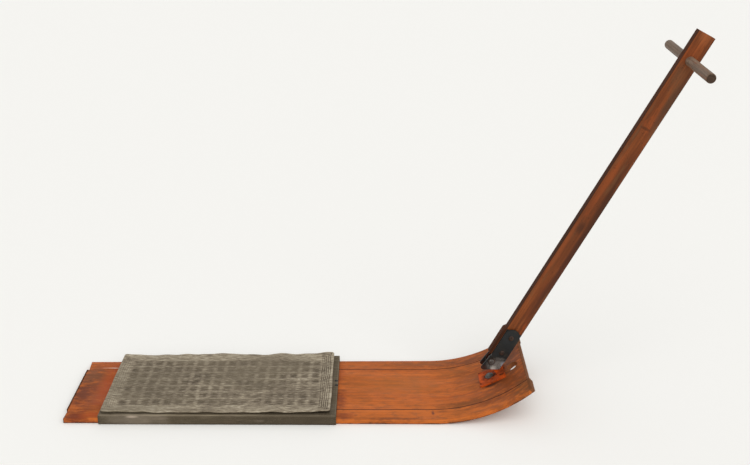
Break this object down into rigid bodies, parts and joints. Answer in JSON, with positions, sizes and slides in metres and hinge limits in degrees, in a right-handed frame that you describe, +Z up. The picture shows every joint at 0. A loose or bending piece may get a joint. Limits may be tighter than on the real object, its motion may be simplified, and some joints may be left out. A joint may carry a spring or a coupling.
{
  "type": "wooden sled",
  "caption": "Low plank snow sled: boards curled up at the nose with a rope hole, a padded rubber mat, and a hinged stick handle with a dowel cross grip.",
  "frame": {"origin": "on the floor under the middle of the whole part, handle included", "axes": "+X towards the nose, +Y to the left, +Z up"},
  "size_m": [1.2926, 0.29, 0.7951],
  "materials": {
    "deck_wood": "orange stain, worn",
    "handle_wood": "dark brown-red stain",
    "grip_wood": "bare, weathered",
    "pad_rubber": "matt, weathered",
    "mat_rubber": "matt, weathered",
    "red_steel": "red-orange paint, chipped",
    "black_steel": "black paint, worn",
    "worn_steel": "bare, dull",
    "dark_steel": "dark, oxidised"
  },
  "bodies": {
    "sled": {"deck_middle_board": "deck_wood", "deck_left_board": "deck_wood", "deck_right_board": "deck_wood", "seat_pad": "pad_rubber", "rubber_mat": "mat_rubber", "hinge_bracket": "red_steel", "bracket_screws": "red_steel", "pivot_bolt": "worn_steel", "pivot_nut": "worn_steel", "pivot_washer_left": "dark_steel", "pivot_washer_right": "dark_steel", "pivot_spacer": "worn_steel"},
    "handle": {"fork_plate_left": "worn_steel", "fork_plate_right": "worn_steel", "handle_strap_left": "black_steel", "handle_strap_right": "black_steel", "strap_bolts": "dark_steel", "strap_nuts": "dark_steel", "packing_strip": "handle_wood", "handle_stick": "handle_wood", "grip_dowel": "grip_wood"}
  },
  "joints": [
    {"name": "handle_fold", "type": "hinge", "parent": "sled", "child": "handle", "pos_m": [0.25162, 0, 0.08603], "axis": [0, -1, 0], "range_deg": [0, 117]}
  ]
}
